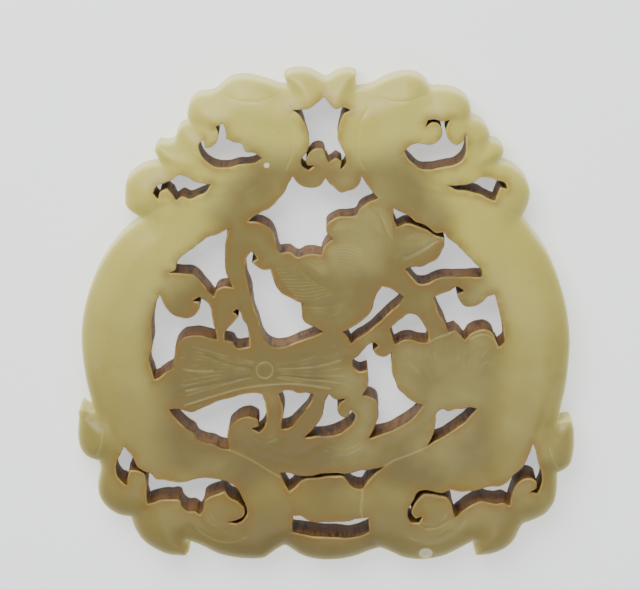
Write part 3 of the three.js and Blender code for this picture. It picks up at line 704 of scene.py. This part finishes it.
wall_depth = np.concatenate([(face_z[:edge_count] - row[:, 2]) for row in walls])
on_gap = np.arange(edge_count) >= outer_count
store("outer", np.concatenate([face_outer, np.tile(face_outer[:edge_count], len(walls)),
                               back_plan.to_outer(back_places)]))
store("gap", np.concatenate([face_gap, np.tile(face_gap[:edge_count], len(walls)),
                             back_plan.to_gap(back_places)]))
store("sawn", np.concatenate([np.zeros(len(face_places)), np.tile(on_gap, len(walls)),
                              np.zeros(len(back_places))]))
store("depth", np.concatenate([np.zeros(len(face_places)), wall_depth,
                               np.full(len(back_places), 7)]))
store("carve", np.concatenate([np.ones(len(face_places)), np.clip(1 - wall_depth / FADE_DEPTH, 0, 1),
                               np.zeros(len(back_places))]))
skin_check = bmesh.new()
skin_check.from_mesh(mesh)
print("open edges:", sum(not e.is_manifold for e in skin_check.edges),
      "volume mm3:", round(skin_check.calc_volume() / MM ** 3))
skin_check.free()

# %% [markdown]
# ## Carving along the lines
# A lapidary's wheel leaves the same groove wherever it is led, so one rule serves every line:
# a point of the face sinks by an amount that falls off with its distance from the nearest
# line. Geometry Nodes say exactly that. The strokes are a curve object at the level of the
# back, and each point asks how far the curve is in plan. The tree has its width, depth and
# shape as inputs, so it cuts the wide folds, the main lines and the hairlines in turn, and
# leaves an attribute that says where the stone was cut, which the finish reads.

# %% Strokes as a curve object
def curve_object(name, runs):
    curve = bpy.data.curves.new(name, "CURVE")
    curve.dimensions = "3D"
    for run in runs:
        spline = curve.splines.new("POLY")
        spline.points.add(len(run) - 1)
        flat = np.column_stack([run * MM, np.zeros(len(run)), np.ones(len(run))])
        spline.points.foreach_set("co", flat.ravel())
    holder = bpy.data.objects.new(name, curve)
    bpy.context.scene.collection.objects.link(holder)
    return holder


# %% The carving tree
def carving_tree():
    """Sinks the face along the strokes of a curve object."""
    tree = bpy.data.node_groups.new("Carved lines", "GeometryNodeTree")
    for name, kind in {"Geometry": "Geometry", "Lines": "Object", "Width": "Float",
                       "Depth": "Float", "Shape": "Float", "Mark": "String",
                       "Material": "Material"}.items():
        tree.interface.new_socket(name, in_out="INPUT", socket_type="NodeSocket" + kind)
    tree.interface.new_socket("Geometry", in_out="OUTPUT", socket_type="NodeSocketGeometry")

    def node(kind, settings=(), **inputs):
        made = tree.nodes.new(kind)
        for key, value in dict(settings).items():
            setattr(made, key, value)
        for key, value in inputs.items():
            socket = made.inputs[int(key[1:])] if key[1:].isdigit() else made.inputs[key]
            if isinstance(value, bpy.types.NodeSocket):
                tree.links.new(value, socket)
            else:
                socket.default_value = value
        return made

    def maths(operation, a, b):
        return node("ShaderNodeMath", {"operation": operation}, i0=a, i1=b).outputs[0]

    entry = node("NodeGroupInput").outputs
    strokes = node("GeometryNodeObjectInfo", i0=entry["Lines"]).outputs["Geometry"]
    wires = node("GeometryNodeCurveToMesh", Curve=strokes).outputs["Mesh"]
    place = node("GeometryNodeInputPosition").outputs["Position"]
    plan = node("ShaderNodeVectorMath", {"operation": "MULTIPLY"},
                i0=place, i1=(1, 1, 0)).outputs[0]
    near = tree.nodes.new("GeometryNodeProximity")
    near.target_element = "EDGES"
    tree.links.new(wires, near.inputs[0])
    tree.links.new(plan, near.inputs["Sample Position"])
    share = maths("DIVIDE", near.outputs["Distance"], entry["Width"])
    closeness = node("ShaderNodeMath", {"operation": "SUBTRACT", "use_clamp": True},
                     i0=1.0, i1=share)
    groove = maths("POWER", closeness.outputs[0], entry["Shape"])
    weight = node("GeometryNodeInputNamedAttribute", {"data_type": "FLOAT"},
                  Name="carve").outputs[0]
    groove = maths("MULTIPLY", groove, weight)
    sink = maths("MULTIPLY", maths("MULTIPLY", groove, entry["Depth"]), -1.0)
    shift = node("ShaderNodeCombineXYZ", Z=sink).outputs[0]
    carved = node("GeometryNodeSetPosition", Geometry=entry["Geometry"], Offset=shift).outputs[0]
    marked = node("GeometryNodeStoreNamedAttribute", {"data_type": "FLOAT", "domain": "POINT"},
                  Geometry=carved, Name=entry["Mark"], Value=groove).outputs[0]
    plain = node("GeometryNodeRealizeInstances", Geometry=marked).outputs[0]
    dressed = node("GeometryNodeSetMaterial", Geometry=plain, Material=entry["Material"]).outputs[0]
    leave = tree.nodes.new("NodeGroupOutput")
    tree.links.new(dressed, leave.inputs["Geometry"])
    return tree


carver = carving_tree()
sockets = {item.name: item.identifier for item in carver.interface.items_tree
           if item.in_out == "INPUT"}
print("carving tree takes", ", ".join(sockets))

# %% [markdown]
# ## The stone's colours
# This jade is a yellow celadon: waxy, a little translucent, with light scattered inside it.
# The body colour drifts from warm olive at the heads to a greyer green at the foot, and the
# thin tracery is browner. Ground lines stay pale because they weren't polished. Old dirt and
# iron stain sit in the sawn walls and bleed a little way into the face. The walls are darker
# just under the face, and painted shade darkens them just above the back. The outer edge is
# painted paler, as a glow of light through the thin stone and a highlight along its rim, and
# the gaps' rims are paler from wear and from a painted highlight.
# All of it is worked out from places and from the distances stored on the skin, so that it
# stays on the stone from every side, with no image.

# %% Shader maths as plain expressions
class Value:
    """A number that varies over the surface: an output socket that Python can reckon with."""

    def __init__(self, shade, socket):
        self.shade, self.socket = shade, socket

    def _maths(self, operation, a, b):
        return self.shade.add("ShaderNodeMath", {"operation": operation}, a, b)

    def __add__(self, other): return self._maths("ADD", self, other)
    def __radd__(self, other): return self._maths("ADD", other, self)
    def __sub__(self, other): return self._maths("SUBTRACT", self, other)
    def __rsub__(self, other): return self._maths("SUBTRACT", other, self)
    def __mul__(self, other): return self._maths("MULTIPLY", self, other)
    def __rmul__(self, other): return self._maths("MULTIPLY", other, self)
    def __truediv__(self, other): return self._maths("DIVIDE", self, other)
    def __rtruediv__(self, other): return self._maths("DIVIDE", other, self)
    def __pow__(self, other): return self._maths("POWER", self, other)


class Shade:
    """A material's node tree, with one method that adds any node."""

    def __init__(self, name):
        self.material = bpy.data.materials.new(name)
        self.material.use_nodes = True
        self.tree = self.material.node_tree
        self.tree.nodes.clear()

    def add(self, kind, settings=None, *values, out=0, **named):
        made = self.tree.nodes.new(kind)
        for key, value in (settings or {}).items():
            setattr(made, key, value)
        for key, value in [*enumerate(values), *named.items()]:
            socket = made.inputs[key]
            if isinstance(value, Value):
                self.tree.links.new(value.socket, socket)
            else:
                socket.default_value = value
        return Value(self, made.outputs[out]) if made.outputs else made

    def attribute(self, name):
        return self.add("ShaderNodeAttribute", {"attribute_name": name}, out="Fac")

    def ramp(self, value, low, high):
        """0 below low and 1 above high, with a soft slope between."""
        return self.add("ShaderNodeMapRange", {"interpolation_type": "SMOOTHSTEP"},
                        value, low, high)

    def blend(self, share, first, second):
        """One colour turning into another."""
        made = self.tree.nodes.new("ShaderNodeMix")
        made.data_type = "RGBA"
        for place, value in ((0, share), (6, first), (7, second)):
            socket = made.inputs[place]
            if isinstance(value, Value):
                self.tree.links.new(value.socket, socket)
            else:
                socket.default_value = value if isinstance(value, float) else (*value, 1)
        return Value(self, made.outputs[2])

    def noise(self, scale, detail=2.0, stretch=(1, 1, 1), roughness=0.5):
        """Cloudy noise from 0 to 1 at so many lumps a metre, stretched along the axes."""
        place = self.add("ShaderNodeTexCoord", out="Object")
        place = self.add("ShaderNodeMapping", None, place, Scale=stretch)
        return self.add("ShaderNodeTexNoise", None, place, Scale=scale, Detail=detail,
                        Roughness=roughness)


# %% Celadon jade
WARM = (0.50, 0.44, 0.098)         # heads and upper bodies
OLIVE = (0.24, 0.184, 0.052)       # the foot of the ring
BROWN = (0.155, 0.112, 0.034)      # the lotus and waves
# CREAM is also the colour of the painted glow and the painted highlights along the edges
CREAM = (0.72, 0.67, 0.23)         # thin edges and ground lines
HALO = (0.22, 0.105, 0.014)        # iron stain beside the gaps
SAWN = (0.20, 0.085, 0.009)        # the gaps' walls
# the darkest sawn colour also paints the shade on the walls just above the back
SAWN_DARK_AND_SHADE = (0.035, 0.011, 0.002)  # their rims and streaks
CHIP = (0.66, 0.62, 0.42)          # dry broken stone


def jade_material():
    """Yellow celadon that browns toward the lotus, with stained walls, pale ground lines and painted
    light.
    """
    shade = Shade("celadon jade")
    place = shade.add("ShaderNodeTexCoord", out="Object")
    split = shade.add("ShaderNodeSeparateXYZ", None, place).socket.node
    x, y, z = (Value(shade, split.outputs[axis]) for axis in "XYZ")
    outer, gap = shade.attribute("outer"), shade.attribute("gap")
    sawn, depth = shade.attribute("sawn"), shade.attribute("depth")
    clouds = shade.noise(75, 3)
    lumps = shade.noise(420, 4)
    # the body drifts from warm to greener down the ring, and the tracery is browner
    toward_foot = shade.ramp(y * -1 + (clouds - 0.5) * 0.02, -0.022, 0.030)
    stone = shade.blend(toward_foot, WARM, OLIVE)
    tracery = shade.ramp(outer + (clouds - 0.5) * 4, 7.0, 12.5)
    stone = shade.blend(tracery * 0.9, stone, BROWN)
    stone = shade.blend(shade.ramp(clouds, 0.45, 0.75) * 0.22, stone, CREAM)
    stone = shade.blend(shade.ramp(lumps, 0.5, 0.8) * 0.10, stone, BROWN)
    # between the scrolled tails the foot took up more stain than the rest of the ring
    low = shade.ramp(y * -1, 0.021, 0.030) * (1 - shade.ramp((x * x) ** 0.5, 0.011, 0.021))
    stone = shade.blend(low * 0.55, stone, BROWN)
    # painted light: the outer edge is painted paler, a glow of light through the thin stone and a
    # painted highlight line along the rim
    edge = (1 - shade.ramp(outer, 0.0, 1.2)) * 0.3 + (1 - shade.ramp(outer, 0.1, 0.4)) * 0.4
    stone = shade.blend(edge, stone, CREAM)
    # stain that has crept into the face beside the gaps
    creep = (1 - shade.ramp(gap, 0.0, 1.9)) ** 1.5 * shade.ramp(lumps, 0.25, 0.6) * 0.6
    stone = shade.blend(creep, stone, HALO)
    # the gaps' rims are painted paler: partly real wear, partly a painted highlight where the
    # rounded rim catches the light
    wear_and_highlight = (1 - shade.ramp(gap, 0.08, 0.3)) * shade.ramp(lumps, 0.42, 0.66) * 0.28
    stone = shade.blend(wear_and_highlight, stone, CREAM)
    # ground lines, pale where the wheel left them rough
    fine = shade.attribute("hair") * shade.ramp(lumps, 0.35, 0.65)
    ground = shade.attribute("cut") * 0.22 + fine * 0.16
    stone = shade.blend(ground, stone, CREAM)
    # the sawn walls: streaked down the cut and darkest just under the face, with painted shade at
    # the back where each gap bottoms out
    streaks = shade.noise(1.0, 3, (1900, 1900, 160), 0.6)
    patches = shade.noise(330, 2)
    wall = shade.blend(shade.ramp(streaks + (patches - 0.5) * 0.7, 0.26, 0.56), SAWN_DARK_AND_SHADE, SAWN)
    under_face = (1 - shade.ramp(depth, 0.15, 0.75)) * 0.8
    # painted shade: the wall is darkened just above the back, at the bottom of each gap
    shade_above_back = (1 - shade.ramp(z * 1000, 0.5, 1.5)) * 0.85
    dark_rims_and_shade = under_face + shade_above_back
    wall = shade.blend(dark_rims_and_shade, wall, SAWN_DARK_AND_SHADE)
    stone = shade.blend(sawn, stone, wall)
    # losses show the dry white of broken stone
    flat = shade.add("ShaderNodeVectorMath", {"operation": "MULTIPLY"}, place, (1, 1, 0))
    for name in WHITE_CHIPS:
        cx, cy, radius, _ = CHIPS[name]
        centre = ((cx + DRAWING_ZERO[0]) * MM, (cy + DRAWING_ZERO[1]) * MM, 0)
        reach = shade.add("ShaderNodeVectorMath", {"operation": "DISTANCE"}, flat, centre,
                          out="Value")
        mask = 1 - shade.ramp(reach * 1000 + (lumps - 0.5) * 0.5, radius * 0.75, radius * 1.1)
        stone = shade.blend(mask, stone, CHIP)
    grain = shade.noise(2600, 2)
    rough = 0.30 + clouds * 0.08 + sawn * 0.25 + ground * 0.25
    bump = shade.add("ShaderNodeBump", None, Strength=0.25, Distance=0.00006,
                     Height=lumps * 0.6 + grain * 0.15 + streaks * sawn * 2.0)
    skin = shade.tree.nodes.new("ShaderNodeBsdfPrincipled")
    for name, value in {"Base Color": stone, "Roughness": rough, "Normal": bump}.items():
        shade.tree.links.new(value.socket, skin.inputs[name])
    for name, value in {"IOR": 1.5, "Subsurface Weight": 0.6, "Subsurface Scale": 0.0016,
                        "Subsurface Radius": (1.0, 0.85, 0.4),
                        "Coat Weight": 0.0, "Specular IOR Level": 0.32}.items():
        skin.inputs[name].default_value = value
    out = shade.tree.nodes.new("ShaderNodeOutputMaterial")
    shade.tree.links.new(skin.outputs[0], out.inputs["Surface"])
    return shade.material


jade_finish = jade_material()
print(len(jade_finish.node_tree.nodes), "nodes in the stone")

# %% Cut the folds, the lines and the hairlines
def carve(holder, runs, width, depth, shape, mark):
    """Cut one kind of stroke into the mesh, and leave its mark as an attribute."""
    strokes = curve_object("strokes " + mark, runs)
    step = holder.modifiers.new(mark, "NODES")
    step.node_group = carver
    for name, value in {"Lines": strokes, "Width": width * MM, "Depth": depth * MM,
                        "Shape": shape, "Mark": mark, "Material": jade_finish}.items():
        step[sockets[name]] = value
    seen = bpy.context.evaluated_depsgraph_get()
    carved = bpy.data.meshes.new_from_object(holder.evaluated_get(seen))
    holder.modifiers.remove(step)
    holder.data = carved
    bpy.data.objects.remove(strokes)
    marked = np.zeros(len(carved.vertices), np.float32)
    carved.attributes[mark].data.foreach_get("value", marked)
    print(f"{mark}: {len(runs)} strokes touched {int((marked > 0.05).sum())} points")


WHEELS = {               # strokes, half width and depth in mm, and how sharp the groove is
    "fold": (folds, 1.1, 0.19, 2.8),
    "cut": (cuts, 0.22, 0.11, 1.2),
    "hair": (hairs, 0.15, 0.03, 1.2),
}
for mark, (runs, half_width, depth, sharpness) in WHEELS.items():
    carve(jade, runs, half_width, depth, sharpness, mark)
jade.data.shade_smooth()

# %% [markdown]
# ## A table, soft light and the camera
# The plaque lies on its back on a pale table, and the camera looks down on it, a little from
# the side of the heads. A long lens keeps the outline undistorted. The light is a studio's:
# one broad lamp beyond the heads, a weaker one from the front, and a pale surround.

# %% Table
TABLE_REACH = 0.9            # m from its middle to each side
TABLE_DROP = 0.00003         # m below the plaque, so that no two faces share a place
table_mesh = bpy.data.meshes.new("table")
table_mesh.from_pydata([(TABLE_REACH * a, TABLE_REACH * b, 0)
                        for a, b in ((-1, -1), (1, -1), (1, 1), (-1, 1))], [], [(0, 1, 2, 3)])
table = bpy.data.objects.new("table", table_mesh)
table.location.z = -TABLE_DROP
bpy.context.scene.collection.objects.link(table)
paper = Shade("pale paper")
paper_skin = paper.tree.nodes.new("ShaderNodeBsdfPrincipled")
paper_skin.inputs["Base Color"].default_value = (0.86, 0.87, 0.88, 1)
paper_skin.inputs["Roughness"].default_value = 0.8
paper_skin.inputs["Emission Color"].default_value = (0.97, 0.985, 1, 1)
paper_skin.inputs["Emission Strength"].default_value = 0.65
paper_out = paper.tree.nodes.new("ShaderNodeOutputMaterial")
paper.tree.links.new(paper_skin.outputs[0], paper_out.inputs["Surface"])
table_mesh.materials.append(paper.material)

# %% Light
def lamp(name, place, target, size, watts):
    light = bpy.data.lights.new(name, "AREA")
    light.shape, light.size, light.energy = "SQUARE", size, watts
    holder = bpy.data.objects.new(name, light)
    holder.location = place
    holder.rotation_euler = (Vector(target) - Vector(place)).to_track_quat("-Z", "Y").to_euler()
    bpy.context.scene.collection.objects.link(holder)
    return holder


lamp("broad lamp beyond the heads", (-0.10, 0.26, 0.28), (0, 0, 0), 0.30, 2.0)
lamp("fill from the front", (0.12, -0.35, 0.55), (0, 0, 0), 0.5, 1.2)
world = bpy.data.worlds.new("pale surround")
world.use_nodes = True
world.node_tree.nodes["Background"].inputs["Color"].default_value = (0.90, 0.93, 0.96, 1)
world.node_tree.nodes["Background"].inputs["Strength"].default_value = 0.55
bpy.context.scene.world = world

# %% Camera
TILT = math.radians(13.5)         # from straight down, toward the heads
AWAY = 0.420                      # m from the place aimed at
AIM = Vector((-0.00088, 0.00407, 0.006))
SENSOR = 36.0                     # mm
LENS = 168.44625                  # mm: long, so that the whole plaque fills the frame

camera = bpy.data.objects.new("camera", bpy.data.cameras.new("camera"))
camera.data.sensor_width, camera.data.lens = SENSOR, LENS
camera.location = AIM + AWAY * Vector((0, math.sin(TILT), math.cos(TILT)))
camera.rotation_euler = (-TILT, 0, 0)
camera.data.clip_start = 0.01
bpy.context.scene.collection.objects.link(camera)
bpy.context.scene.camera = camera
print(f"lens {LENS:.1f} mm at {AWAY * 1000:.0f} mm")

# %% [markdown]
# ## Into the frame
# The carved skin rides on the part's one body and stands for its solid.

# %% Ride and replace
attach(jade, "root")
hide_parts(NODE)
